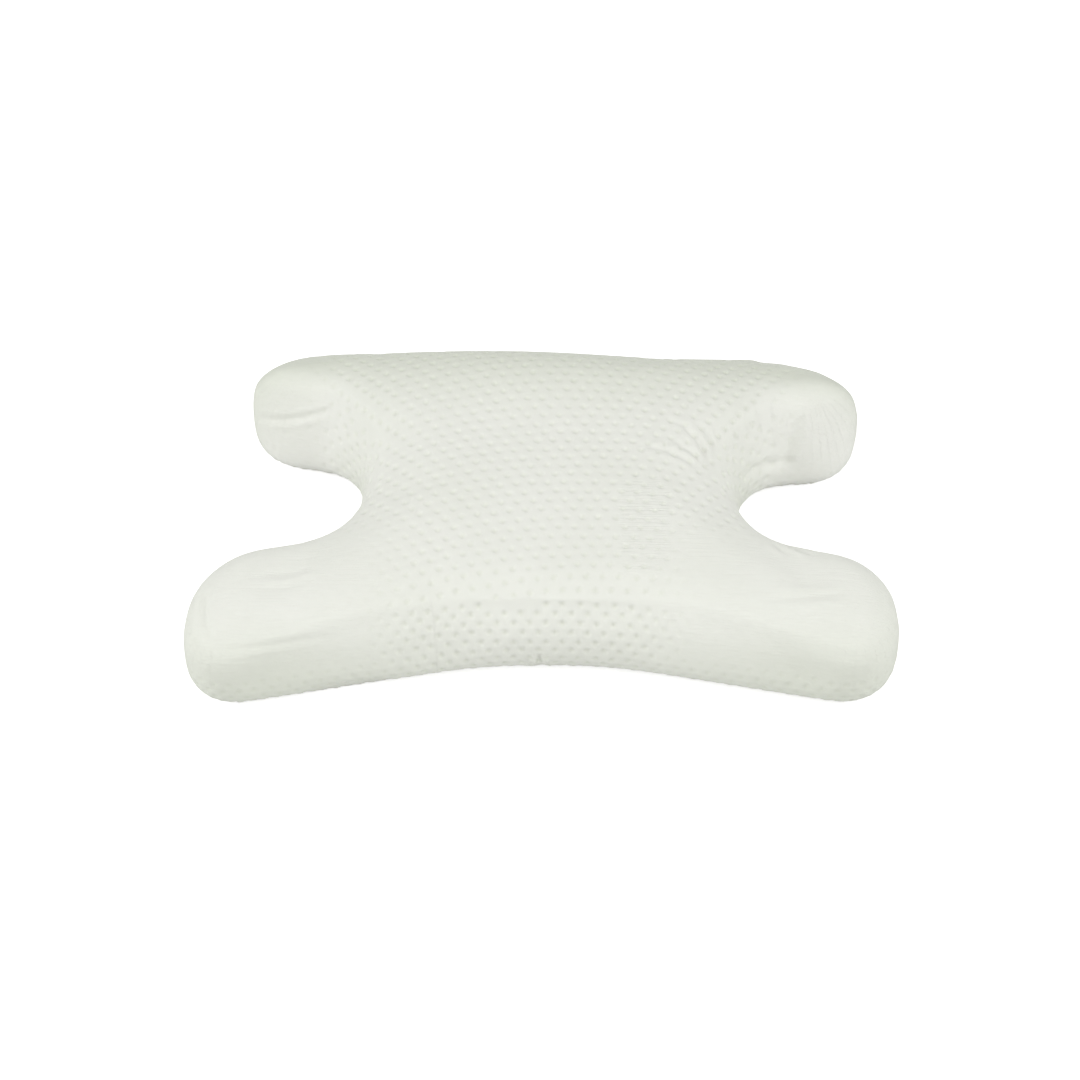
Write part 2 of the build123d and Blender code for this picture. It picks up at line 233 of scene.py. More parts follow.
def relax(mesh, rounds):
    bm = bmesh.new()
    bm.from_mesh(mesh)
    for _ in range(rounds):
        bmesh.ops.smooth_vert(
            bm, verts=bm.verts, factor=0.5, use_axis_x=True, use_axis_y=True, use_axis_z=True
        )
    bm.to_mesh(mesh)
    bm.free()


def pillow_form():
    """Mesh of the whole pillow's skin in even quads, swollen, with a flat foot and a flat zip patch."""
    bm = bmesh.new()
    ring = bmesh.ops.extrude_face_region(bm, geom=[plan_face(bm)])
    top = [item for item in ring["geom"] if isinstance(item, bmesh.types.BMVert)]
    bmesh.ops.translate(bm, vec=(0, 0, HEIGHT), verts=top)
    bmesh.ops.recalc_face_normals(bm, faces=bm.faces)
    for level, roll in ((HEIGHT, TOP_ROLL), (0.0, BASE_ROLL)):
        rim = [edge for edge in bm.edges if all(abs(v.co.z - level) < 1e-6 for v in edge.verts)]
        bmesh.ops.bevel(
            bm, geom=rim, affect="EDGES", offset_type="OFFSET", offset=roll,
            segments=8, profile=0.5, material=-1, clamp_overlap=False,
        )
    form = piece_from(bm, "form")
    form.modifiers.new("skin", "REMESH").voxel_size = VOXEL
    apply_modifiers(form)
    relax(form.data, 5)
    points = points_of(form.data)
    arch_top(points)
    shape_rear_lobes(points)
    set_points(form.data, points)
    set_points(form.data, points - normals_of(form.data) * START_INSET)
    swell(form)
    relax(form.data, 4)
    points = points_of(form.data)
    foot = smooth_step(points[:, 2], 0.0, FOOT_HEIGHT)
    points[:, 2] = np.maximum(points[:, 2], 0.0) * foot + FOOT_GAP * (1 - foot)
    near_zip = (
        (1 - smooth_step(abs(points[:, 2] - ZIP_Z), ZIP_FLAT_Z, ZIP_FLAT_Z + 0.012))
        * (1 - smooth_step(abs(points[:, 0]), ZIP_FLAT_X, ZIP_FLAT_X + 0.020))
        * smooth_step(points[:, 1], REAR_Y - 0.020, REAR_Y - 0.010)
    )
    points[:, 1] += (REAR_Y - points[:, 1]) * near_zip
    set_points(form.data, points)
    mesh = form.data
    bpy.data.objects.remove(form)
    return mesh


def new_material(name, roughness, sheen=0.0):
    """Material with its Principled shader, its node tree and its links."""
    material = bpy.data.materials.new(name)
    material.use_nodes = True
    tree = material.node_tree
    shader = tree.nodes["Principled BSDF"]
    shader.inputs["Roughness"].default_value = roughness
    shader.inputs["Sheen Weight"].default_value = sheen
    return material, tree, shader


def add_node(tree, kind, **values):
    """Node of that kind. Values are its own settings, or its sockets by name with _ for a space."""
    node = tree.nodes.new(kind)
    for key, value in values.items():
        if hasattr(node, key):
            setattr(node, key, value)
        else:
            node.inputs[key.replace("_", " ")].default_value = value
    return node


def wire(tree, *wires):
    """Links nodes. Each wire is a node, its output, the next node and its input."""
    for source, output, target, entry in wires:
        tree.links.new(source.outputs[output], target.inputs[entry])


def group_of(name, inputs, outputs):
    """Empty shader node group with its sockets, its input node and its output node."""
    tree = bpy.data.node_groups.new(name, "ShaderNodeTree")
    for socket, kind, value in inputs:
        made = tree.interface.new_socket(name=socket, in_out="INPUT", socket_type=kind)
        if value is not None:
            made.default_value = value
    for socket, kind in outputs:
        tree.interface.new_socket(name=socket, in_out="OUTPUT", socket_type=kind)
    return tree, tree.nodes.new("NodeGroupInput"), tree.nodes.new("NodeGroupOutput")


def use_group(tree, group, **values):
    node = tree.nodes.new("ShaderNodeGroup")
    node.node_tree = group
    for key, value in values.items():
        node.inputs[key.replace("_", " ")].default_value = value
    return node


form = pillow_form()

core_mesh = form.copy()
core_points = points_of(core_mesh) - normals_of(core_mesh) * CORE_INSET
core_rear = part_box("foam_core")[1].y
core_points[:, 1] = np.minimum(core_points[:, 1], core_rear)
set_points(core_mesh, core_points)
core = bpy.data.objects.new("foam_block", core_mesh)
bpy.context.collection.objects.link(core)
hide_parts("foam_core")
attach(core, "pillow")

foam, tree, shader = new_material("slow_foam", 0.85)
place = add_node(tree, "ShaderNodeTexCoord")
cells = add_node(tree, "ShaderNodeTexVoronoi", Scale=1400.0)
blotches = add_node(tree, "ShaderNodeTexNoise", Scale=28.0, Detail=4.0)
tone = add_node(tree, "ShaderNodeMix", data_type="RGBA")
tone.inputs["A"].default_value = FOAM_COLOUR
tone.inputs["B"].default_value = (0.80, 0.71, 0.47, 1)
skin = add_node(tree, "ShaderNodeBump", Strength=0.5, Distance=0.0003)
wire(
    tree,
    (place, "Object", cells, "Vector"),
    (place, "Object", blotches, "Vector"),
    (blotches, "Fac", tone, "Factor"),
    (tone, "Result", shader, "Base Color"),
    (cells, "Distance", skin, "Height"),
    (skin, "Normal", shader, "Normal"),
)
core.data.materials.append(foam)

# ---- Base panel of the cover ----
# A flat panel of plain stretch knit under the pillow. It turns up round the lower edge and is
# sewn there to the top panel, face to face, so the seam lies in a small pinched groove.
PANEL_GAP = 0.00005
PINCH_DEPTH, PINCH_WIDTH = 0.0013, 0.0022
PUCKER_DEPTH, PUCKER_LENGTH, PUCKER_WIDTH = 0.00035, 0.0085, 0.0065
KNIT_COLOUR = (0.80, 0.80, 0.745, 1)
LOOP_WIDTH, LOOP_HEIGHT = 0.0011, 0.0008


def plan_samples():
    """Points about a millimetre apart along the plan's outline, and how far along each one is."""
    bm = bmesh.new()
    plan_face(bm)
    bmesh.ops.subdivide_edges(bm, edges=[e for e in bm.edges if e.calc_length() > 0.012], cuts=30)
    points = np.array([tuple(loop.vert.co) for loop in bm.faces[:][0].loops])
    bm.free()
    steps = np.linalg.norm(np.roll(points, -1, axis=0) - points, axis=1)
    return points, np.concatenate([[0.0], np.cumsum(steps)[:-1]]), float(steps.sum())


outline_points, outline_along, outline_length = plan_samples()
outline_tree = tree_of(outline_points)


def along_outline(points):
    """Distance along the outline, and depth inside it, of each point seen in plan."""
    flat = points * (1, 1, 0)
    found = [outline_tree.find(point) for point in flat]
    nearest = np.array([index for _, index, _ in found])
    here = outline_points[nearest]
    ahead = outline_points[(nearest + 1) % len(outline_points)] - here
    ahead /= np.linalg.norm(ahead, axis=1, keepdims=True)
    return outline_along[nearest] + ((flat - here) * ahead).sum(axis=1), np.array([d for _, _, d in found])


def pinch_at_seam(points, normals, along):
    """Draws the cloth in at the seam, with small puckers where the stitches pull."""
    off = points[:, 2] - SEAM_Z
    pinch = PINCH_DEPTH * np.exp(-((off / PINCH_WIDTH) ** 2))
    beat = np.sin(2 * math.pi * along / PUCKER_LENGTH) + 0.6 * np.sin(2 * math.pi * along / 0.0137)
    pucker = PUCKER_DEPTH * beat * np.exp(-((off / PUCKER_WIDTH) ** 2))
    return points - normals * (pinch + pucker)[:, None]


def subdivided(mesh, levels):
    """Copy of the mesh with that many levels of subdivision."""
    piece = bpy.data.objects.new("finer", mesh.copy())
    bpy.context.collection.objects.link(piece)
    finer = piece.modifiers.new("finer", "SUBSURF")
    finer.levels = finer.render_levels = levels
    apply_modifiers(piece)
    made = piece.data
    bpy.data.objects.remove(piece)
    return made


def line_panel(bm, lining, seam_faces):
    """Joins a panel's outer face to its lining along their open edges. The lining is used up."""
    bmesh.ops.reverse_faces(lining, faces=lining.faces)
    spare = bpy.data.meshes.new("lining")
    lining.to_mesh(spare)
    lining.free()
    bm.from_mesh(spare)
    at_seam, at_zip = [], []
    for edge in bm.edges:
        if edge.is_boundary:
            (at_seam if abs(edge.verts[0].co.z - SEAM_Z) < 2 * PANEL_GAP else at_zip).append(edge)
    for edges, facing in ((at_seam, seam_faces), (at_zip, (0, -1, 0))):
        if edges:
            bmesh.ops.triangle_fill(bm, edges=edges, use_beauty=True, normal=facing)


def cut_panel(bm, level, keep_above):
    bmesh.ops.bisect_plane(
        bm, geom=bm.verts[:] + bm.edges[:] + bm.faces[:], dist=1e-7,
        plane_co=(0, 0, level), plane_no=(0, 0, 1),
        clear_inner=keep_above, clear_outer=not keep_above,
    )


def lining_of(level, keep_above):
    """Inner face of a panel: the form moved in by the cloth's thickness, and pinched as the face is."""
    bm = bmesh.new()
    mesh = form.copy()
    normals = normals_of(mesh)
    points = points_of(mesh)
    points = pinch_at_seam(points, normals, along_outline(points)[0]) - normals * COVER_THICKNESS
    set_points(mesh, points)
    bm.from_mesh(mesh)
    cut_panel(bm, level, keep_above)
    return bm


base_mesh = subdivided(form, 1)
base_points = points_of(base_mesh)
base_along = along_outline(base_points)[0]
set_points(base_mesh, pinch_at_seam(base_points, normals_of(base_mesh), base_along))
base_bm = bmesh.new()
base_bm.from_mesh(base_mesh)
cut_panel(base_bm, SEAM_Z - PANEL_GAP, keep_above=False)
line_panel(base_bm, lining_of(SEAM_Z - PANEL_GAP, keep_above=False), (0, 0, 1))
base_panel = piece_from(base_bm, "base_panel_cloth")
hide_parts("cover_base_panel")
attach(base_panel, "pillow")

# Rows of V-shaped knitted loops across a flat pair of coordinates.
knit_loops, taken, given = group_of(
    "knit_loops",
    [("Across", "NodeSocketFloat", 0.0), ("Up", "NodeSocketFloat", 0.0)],
    [("Height", "NodeSocketFloat")],
)
wale = add_node(knit_loops, "ShaderNodeMath", operation="PINGPONG")
wale.inputs[1].default_value = LOOP_WIDTH / 2
lean = add_node(knit_loops, "ShaderNodeMath", operation="MULTIPLY_ADD")
lean.inputs[1].default_value = 1.2
course = add_node(knit_loops, "ShaderNodeMath", operation="MULTIPLY")
course.inputs[1].default_value = 2 * math.pi / LOOP_HEIGHT
swing = add_node(knit_loops, "ShaderNodeMath", operation="SINE")
groove = add_node(knit_loops, "ShaderNodeMath", operation="MULTIPLY")
groove.inputs[1].default_value = 2 * math.pi / LOOP_WIDTH
bulge = add_node(knit_loops, "ShaderNodeMath", operation="SINE")
total = add_node(knit_loops, "ShaderNodeMath", operation="MULTIPLY_ADD")
total.inputs[1].default_value = 0.45
wire(
    knit_loops,
    (taken, "Across", wale, 0),
    (wale, 0, lean, 0),
    (taken, "Up", lean, 2),
    (lean, 0, course, 0),
    (course, 0, swing, 0),
    (wale, 0, groove, 0),
    (groove, 0, bulge, 0),
    (swing, 0, total, 0),
    (bulge, 0, total, 2),
    (total, 0, given, "Height"),
)

# Uneven yarn: cloudy changes of tone, and a fine fuzz over them.
yarn_tone, taken, given = group_of(
    "yarn_tone",
    [
        ("Vector", "NodeSocketVector", None),
        ("Light", "NodeSocketColor", None),
        ("Deep", "NodeSocketColor", None),
    ],
    [("Colour", "NodeSocketColor"), ("Fuzz", "NodeSocketFloat")],
)
clouds = add_node(yarn_tone, "ShaderNodeTexNoise", Scale=14.0, Detail=3.0, Roughness=0.55)
fuzz = add_node(yarn_tone, "ShaderNodeTexNoise", Scale=900.0, Detail=3.0, Roughness=0.7)
blend = add_node(yarn_tone, "ShaderNodeMath", operation="MULTIPLY_ADD")
blend.inputs[1].default_value = 0.35
tone = add_node(yarn_tone, "ShaderNodeMix", data_type="RGBA")
wire(
    yarn_tone,
    (taken, "Vector", clouds, "Vector"),
    (taken, "Vector", fuzz, "Vector"),
    (fuzz, "Fac", blend, 0),
    (clouds, "Fac", blend, 2),
    (blend, 0, tone, "Factor"),
    (taken, "Light", tone, "A"),
    (taken, "Deep", tone, "B"),
    (tone, "Result", given, "Colour"),
    (fuzz, "Fac", given, "Fuzz"),
)

plain_knit, tree, shader = new_material("plain_knit", 0.92, sheen=0.15)
place = add_node(tree, "ShaderNodeTexCoord")
split = add_node(tree, "ShaderNodeSeparateXYZ")
loops = use_group(tree, knit_loops)
yarn = use_group(tree, yarn_tone, Light=KNIT_COLOUR, Deep=(0.72, 0.73, 0.66, 1))
ribs = add_node(tree, "ShaderNodeBump", Strength=0.7, Distance=0.00015)
wire(
    tree,
    (place, "Object", split, "Vector"),
    (split, "X", loops, "Across"),
    (split, "Y", loops, "Up"),
    (place, "Object", yarn, "Vector"),
    (yarn, "Colour", shader, "Base Color"),
    (loops, "Height", ribs, "Height"),
    (ribs, "Normal", shader, "Normal"),
)
base_panel.data.materials.append(plain_knit)

# ---- Top panel of the cover ----
# One piece of thick stretch velour, knitted with small dimples in staggered rows. It is drawn over
# the top and down every wall, so the dimples are full on the body and stretched out on the lobes.
DOT_PITCH, ROW_PITCH, WALL_ROW_PITCH = 0.0114, 0.0085, 0.0078
ROWS_TURN = math.radians(4.0)  # the cloth was drawn on a little askew
DOT_RADIUS, DOT_DEPTH = 0.0029, 0.0011
PUFF = 0.0003  # the cloth between the dimples stands this much proud
CLEAR_OF_OTHER_DOTS = 0.0080
ROW_BOW, BOW_REACH = 1.1, 0.12  # the rows bow back in the middle, as the neck edge does
OPENING_HALF_X = 0.130
OPENING_HALF_Z = 0.006
EDGE_ROLL = 0.0012  # radius of the turned edge round the zip
EDGE_RINGS = (0.0, 0.00035, 0.0008, 0.0014)
LINING_BACK = 0.0004  # the cloth's inner face ends this far short of the turned edge
STITCH_INSET = 0.0034  # from the opening's edge to the row of topstitching
SEWN_THICKNESS = 0.00125

top_mesh = subdivided(form, 2)
points, normals = points_of(top_mesh), normals_of(top_mesh)
along, depth = along_outline(points)


def wall_distance(points, depth):
    """How far down from the top of the straight wall each point is, measured over the cloth."""
    wall_top = HEIGHT - TOP_ROLL
    up = np.arctan2(points[:, 2] - wall_top, np.maximum(TOP_ROLL - depth, 1e-4)) * TOP_ROLL
    down = wall_top - BASE_ROLL
    under = np.arctan2(BASE_ROLL - points[:, 2], np.maximum(BASE_ROLL - depth, 1e-4)) * BASE_ROLL
    wall = wall_top - points[:, 2]
    return np.where(points[:, 2] > wall_top, -up, np.where(points[:, 2] < BASE_ROLL, down + under, wall))


down_wall = wall_distance(points, depth)


def nearest_vertices(coordinates, chosen, wanted):
    """Index of the chosen vertex nearest to each wanted pair of coordinates, and how near it is."""
    tree = tree_of([(coordinates[i, 0], coordinates[i, 1], 0) for i in chosen])
    found = [tree.find((a, b, 0))[1:] for a, b in wanted]
    return [(int(chosen[i]), gap) for i, gap in found]


def dot_centres():
    """Middle of each dot. The rows on the walls follow the edge, and start where the top's rows end."""
    facing_up = np.nonzero(normals[:, 2] > 0.72)[0]
    rows, columns = int(0.42 / ROW_PITCH), int(0.56 / DOT_PITCH)
    lattice = []
    for j in range(rows + 1):
        for i in range(columns + 1):
            x = (i + 0.5 * (j % 2)) * DOT_PITCH - 0.28
            curved = min(abs(x), BOW_REACH)
            bow = ROW_BOW * curved * (2 * abs(x) - curved)
            y = j * ROW_PITCH - 0.19 - bow
            lattice.append((
                x * math.cos(ROWS_TURN) - y * math.sin(ROWS_TURN),
                x * math.sin(ROWS_TURN) + y * math.cos(ROWS_TURN),
            ))
    found = nearest_vertices(points[:, :2], facing_up, lattice)
    centres = [points[i] for i, gap in found if gap < 0.0012]
    on_wall = np.nonzero(normals[:, 2] < 0.80)[0]
    count = round(outline_length / DOT_PITCH)
    step = outline_length / count
    first = -TOP_ROLL * math.radians(50)
    last = HEIGHT - TOP_ROLL - BASE_ROLL + BASE_ROLL * math.radians(45)
    band = [
        ((i + 0.5 * (j % 2)) * step, first + j * WALL_ROW_PITCH)
        for j in range(int((last - first) / WALL_ROW_PITCH) + 1) for i in range(count)
    ]
    found = nearest_vertices(np.column_stack([along, down_wall]), on_wall, band)
    tops = tree_of(centres)
    for i, gap in found:
        if gap < 0.0015 and tops.find(points[i])[2] > CLEAR_OF_OTHER_DOTS:
            centres.append(points[i])
    return centres


centres = dot_centres()
dots = tree_of(centres)
from_dot = np.array([dots.find(point)[2] for point in points])


def dimple_share(points, down_wall):
    """1 where the dimples are full, down to 0 where the cloth is pulled tight over a lobe."""
    x, y = points[:, 0], points[:, 1]
    front = smooth_step(-y, 0.02, 0.07)
    full = np.where(x < 0, 0.080, 0.055)
    front_share = 1 - 0.93 * smooth_step(abs(x), full, full + 0.06)
    rear_share = 1 - 0.85 * smooth_step(abs(x), 0.140, 0.190)
    share = front * front_share + (1 - front) * rear_share
    return np.maximum(share, 0.6 * front * smooth_step(down_wall, 0.0, 0.02))


def from_opening(points):
    """Distance outside the edge of the zip's opening, on the rear wall. Elsewhere it is large."""
    out = np.maximum(
        np.abs(points[:, 0]) - OPENING_HALF_X, np.abs(points[:, 2] - ZIP_Z) - OPENING_HALF_Z
    )
    return np.where(points[:, 1] > REAR_Y - 0.010, out, 1.0)


profile = np.clip(1 - (from_dot / DOT_RADIUS) ** 2, 0.0, 1.0) ** 1.6
puff = smooth_step(from_dot, 0.5 * DOT_RADIUS, 1.7 * DOT_RADIUS)
fullness = dimple_share(points, down_wall) * smooth_step(from_opening(points), 0.004, 0.010)
fullness *= smooth_step(np.abs(points[:, 2] - SEAM_Z), 0.003, 0.008)
dimple = profile * fullness
final_points = pinch_at_seam(points, normals, along)
final_points += normals * (PUFF * puff * fullness - DOT_DEPTH * dimple)[:, None]

# Folds where the tight cloth gathers: start, end, how far the middle bows aside as a share of the
# length, half width, depth, and the share that is pushed up on both sides. Negative depth is a ridge.
FOLDS = [
    # over the left rear lobe, from its front wall to its root
    ((-0.220, 0.100, 0.045), (-0.155, 0.085, 0.070), -0.10, 0.0024, 0.0012, 0.5),
    # across the left front lobe, on its top and along the roll of its edge, and round its end
    ((-0.205, -0.105, HEIGHT), (-0.160, -0.095, HEIGHT), 0.0, 0.0030, -0.0009, 0.5),
    ((-0.230, -0.155, 0.065), (-0.145, -0.140, 0.065), 0.0, 0.0024, 0.0010, 0.5),
    ((-0.235, -0.105, 0.075), (-0.230, -0.145, 0.070), -0.05, 0.0024, 0.0009, 0.5),
    # across the right front lobe
    ((0.150, -0.115, HEIGHT), (0.210, -0.105, HEIGHT), 0.0, 0.0030, 0.0010, 0.5),
    # up the root of the right rear lobe, and along under it
    ((0.170, 0.065, 0.035), (0.185, 0.085, 0.065), 0.05, 0.0040, 0.0022, 0.4),
    ((0.140, 0.035, 0.050), (0.185, 0.065, 0.035), 0.10, 0.0036, 0.0016, 0.4),
    # slack along the foot of the neck edge, beside the left front lobe
    ((-0.170, -0.150, 0.020), (-0.105, -0.135, 0.015), 0.0, 0.0080, 0.0020, 0.0),
]
# pulls that fan out over the top from the right side of the waist, unevenly spaced
PULLS, FIRST_PULL, PULL_TURN = 6, 118, 9  # the last two in degrees
waist_side = Vector((WAIST_X, 0.0, HEIGHT))
for k in range(PULLS):
    turn = math.radians(FIRST_PULL + PULL_TURN * (k + 0.35 * math.sin(2.1 * k)))
    away = Vector((math.cos(turn), math.sin(turn), 0))
    far, near = 0.060 + 0.010 * (k % 3), 0.024 + 0.008 * (k % 2)
    FOLDS.append((
        waist_side + away * far, waist_side + away * near, 0.06, 0.0022, 0.0007 + 0.0002 * (k % 2), 0.6,
    ))
# two more from the waist to the front lobe
for turn, reach in ((-65, 0.075), (-52, 0.085)):
    away = Vector((math.cos(math.radians(turn)), math.sin(math.radians(turn)), 0))
    FOLDS.append((waist_side + away * reach, waist_side + away * 0.055, 0.0, 0.0028, 0.0010, 0.5))
# puckers that spread upwards from the middle of the neck edge, where the seam starts and ends
for lean, rise, depth_in in ((-0.008, 0.018, 0.0012), (0.0, 0.026, 0.0024), (0.008, 0.018, 0.0012)):
    FOLDS.append((
        (-0.004 + lean, -0.123, SEAM_Z + rise), (-0.004 + lean / 4, -0.118, SEAM_Z + 0.003),
        0.0, 0.0020, depth_in, 0.6,
    ))
PULLED_PATCH = ((0.052, 0.086), (-0.094, -0.010))  # where the knit is drawn into fine cross lines
surface_tree = tree_of(points)


def fold_depth(start, end, bow, half_width, depth, bank):
    """How far a fold draws the surface in. It follows the cloth, and fades out at its two ends."""
    start, end = np.array(start), np.array(end)
    aside = np.cross((0, 0, 1), end - start)
    straight = [start + t * (end - start) + 4 * bow * t * (1 - t) * aside for t in np.linspace(0, 1, 7)]
    line = [points[surface_tree.find(place)[1]] for place in straight]
    best = np.full(len(points), 1.0)
    share = np.zeros(len(points))
    lengths = [np.linalg.norm(b - a) for a, b in zip(line, line[1:])]
    gone = 0.0
    for a, b, length in zip(line, line[1:], lengths):
        t = np.clip(((points - a) @ (b - a)) / length**2, 0.0, 1.0)
        away = np.linalg.norm(points - (a + t[:, None] * (b - a)), axis=1)
        nearer = away < best
        best = np.where(nearer, away, best)
        share = np.where(nearer, (gone + t * length) / sum(lengths), share)
        gone += length
    ends = np.sin(np.pi * np.clip(share, 0.0, 1.0)) ** 0.6
    valley = np.exp(-((best / half_width) ** 2))
    banks = bank * np.exp(-(((best - 2.2 * half_width) / half_width) ** 2))
    return depth * ends * (valley - banks)


for fold in FOLDS:
    final_points -= normals * fold_depth(*fold)[:, None]

set_points(top_mesh, final_points)
attribute = top_mesh.attributes.new("dimple", "FLOAT", "POINT")
attribute.data.foreach_set("value", dimple.astype(np.float32))
attribute = top_mesh.attributes.new("cloth_place", "FLOAT_VECTOR", "POINT")
cloth_place = np.column_stack([along, down_wall, smooth_step(normals[:, 2], 0.85, 0.65)])
attribute.data.foreach_set("vector", cloth_place.astype(np.float32).ravel())
(patch_left, patch_right), (patch_front, patch_rear) = PULLED_PATCH
patch = smooth_step(points[:, 0], patch_left - 0.004, patch_left + 0.004)
patch *= 1 - smooth_step(points[:, 0], patch_right - 0.004, patch_right + 0.004)
patch *= smooth_step(points[:, 1], patch_front - 0.006, patch_front + 0.006)
patch *= 1 - smooth_step(points[:, 1], patch_rear - 0.006, patch_rear + 0.006)
pulled_tight = np.maximum(1 - dimple_share(points, down_wall), 2.0 * patch)
attribute = top_mesh.attributes.new("pulled_tight", "FLOAT", "POINT")
attribute.data.foreach_set("value", pulled_tight.astype(np.float32))
# Painted shade and light for the velour's colour: darker down the walls, along the rear, over the rear
# lobes' tops (most on the right) and at the front lobes' feet, less so in the middle of the front wall,
# and lighter on the rear lobes' front faces.
attribute = top_mesh.attributes.new("painted_shade_and_light", "FLOAT", "POINT")
aside, back = abs(points[:, 0]), points[:, 1]
lobe_face_painted_light = smooth_step(aside, 0.13, 0.17) * smooth_step(back, 0.0, 0.04)
lobe_face_painted_light *= 1 - smooth_step(back, 0.070, 0.125)
lobe_top_painted_shade = smooth_step(aside, 0.13, 0.18) * smooth_step(back, 0.085, 0.140)
lobe_foot_painted_shade = smooth_step(aside, 0.10, 0.20) * smooth_step(-back, 0.0, 0.04)
painted_shade_and_light = 0.75 * smooth_step(down_wall, -0.03 - 0.025 * lobe_foot_painted_shade, 0.04 - 0.015 * lobe_foot_painted_shade)
painted_shade_and_light *= 1 - 0.5 * (1 - smooth_step(aside, 0.03, 0.13)) * smooth_step(-back, 0.0, 0.04)
painted_shade_and_light += 1.3 * smooth_step(back, 0.05, 0.145)
painted_shade_and_light = painted_shade_and_light * (1 - lobe_face_painted_light) - 0.35 * lobe_face_painted_light
painted_shade_and_light += np.where(points[:, 0] > 0, 0.8, 0.35) * lobe_top_painted_shade
painted_shade_and_light *= 1 + 0.3 * lobe_foot_painted_shade
attribute.data.foreach_set("value", np.clip(painted_shade_and_light, -0.35, 1.35).astype(np.float32))


def by_the_zip(place, half_x, half_z):
    """Whether a place is on the rear wall, and that near to the middle of the zip."""
    on_wall = place.y > REAR_Y - 0.008
    return on_wall and abs(place.x) < half_x and abs(place.z - ZIP_Z) < half_z


def cut_opening(bm, rings):
    """Cuts the zip's opening in the rear wall, with rings of edges round it for the turned edge."""
    for out in rings:
        half_x, half_z = OPENING_HALF_X + out, OPENING_HALF_Z + out
        for place, facing in (
            ((half_x, 0, ZIP_Z), (1, 0, 0)), ((-half_x, 0, ZIP_Z), (-1, 0, 0)),
            ((0, 0, ZIP_Z + half_z), (0, 0, 1)), ((0, 0, ZIP_Z - half_z), (0, 0, -1)),
        ):
            near = [
                face for face in bm.faces
                if by_the_zip(face.calc_center_median(), OPENING_HALF_X + 0.008, OPENING_HALF_Z + 0.007)
            ]
            edges = {edge for face in near for edge in face.edges}
            verts = {vertex for face in near for vertex in face.verts}
            bmesh.ops.bisect_plane(
                bm, geom=near + list(edges) + list(verts), dist=1e-6, plane_co=place, plane_no=facing
            )
    inside = [
        face for face in bm.faces
        if by_the_zip(face.calc_center_median(), OPENING_HALF_X + rings[0], OPENING_HALF_Z + rings[0])
    ]
    bmesh.ops.delete(bm, geom=inside, context="FACES")


top_bm = bmesh.new()
top_bm.from_mesh(top_mesh)
cut_panel(top_bm, SEAM_Z + PANEL_GAP, keep_above=True)
cut_opening(top_bm, EDGE_RINGS)
for vertex in top_bm.verts:
    if vertex.co.y > REAR_Y - 0.006:
        out = max(abs(vertex.co.x) - OPENING_HALF_X, abs(vertex.co.z - ZIP_Z) - OPENING_HALF_Z)
        if out < EDGE_ROLL:
            share = 1 - max(out, 0.0) / EDGE_ROLL
            vertex.co.y -= EDGE_ROLL * (1 - math.sqrt(1 - share**2)) * 0.9
        groove = math.exp(-(((out - STITCH_INSET) / 0.0009) ** 2))
        vertex.co.y -= 0.0003 * groove
lining_bm = lining_of(SEAM_Z + PANEL_GAP, keep_above=True)
for vertex in lining_bm.verts:
    if by_the_zip(vertex.co, ZIP_FLAT_X + 0.003, ZIP_FLAT_Z + 0.003):
        vertex.co.y = REAR_Y - SEWN_THICKNESS
cut_opening(lining_bm, (LINING_BACK,))
line_panel(top_bm, lining_bm, (0, 0, -1))
top_panel = piece_from(top_bm, "dimpled_cover_cloth")
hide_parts("cover_top_panel")
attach(top_panel, "pillow")

velour, tree, shader = new_material("dimpled_velour", 0.9, sheen=0.25)
shader.inputs["Sheen Roughness"].default_value = 0.5
place = add_node(tree, "ShaderNodeTexCoord")
spread = add_node(tree, "ShaderNodeSeparateXYZ")
wall_place = add_node(tree, "ShaderNodeAttribute", attribute_name="cloth_place")
wall_spread = add_node(tree, "ShaderNodeSeparateXYZ")
top_loops = use_group(tree, knit_loops)
wall_loops = use_group(tree, knit_loops)
loops = add_node(tree, "ShaderNodeMix", data_type="FLOAT")
yarn = use_group(tree, yarn_tone, Light=(0.845, 0.85, 0.80, 1), Deep=(0.79, 0.805, 0.735, 1))
# painted shade: the velour is mixed towards a darker green-grey where the attribute is high, and past its
# own colour to lighter, painted light, where it is below zero
low = add_node(tree, "ShaderNodeAttribute", attribute_name="painted_shade_and_light")
painted_shade_and_light_mix = add_node(tree, "ShaderNodeMix", data_type="RGBA", blend_type="MIX", clamp_factor=False)
painted_shade_and_light_mix.inputs["B"].default_value = (0.72, 0.745, 0.655, 1)
# painted shade: the colour is made a little darker inside each dimple
pit = add_node(tree, "ShaderNodeAttribute", attribute_name="dimple")
pit_painted_shade = add_node(tree, "ShaderNodeMix", data_type="RGBA", blend_type="MULTIPLY")
pit_painted_shade.inputs["B"].default_value = (0.95, 0.96, 0.93, 1)
tight = add_node(tree, "ShaderNodeAttribute", attribute_name="pulled_tight")
stretch = add_node(tree, "ShaderNodeMapping")
stretch.inputs["Scale"].default_value = (22.0, 620.0, 620.0)
streaks = add_node(tree, "ShaderNodeTexNoise", Scale=1.0, Detail=2.0)
streak_share = add_node(tree, "ShaderNodeMath", operation="MULTIPLY")
drawn = add_node(tree, "ShaderNodeBump", Strength=0.9, Distance=0.0005)
weave = add_node(tree, "ShaderNodeBump", Strength=0.6, Distance=0.00012)
fluff = add_node(tree, "ShaderNodeBump", Strength=0.35, Distance=0.0002)
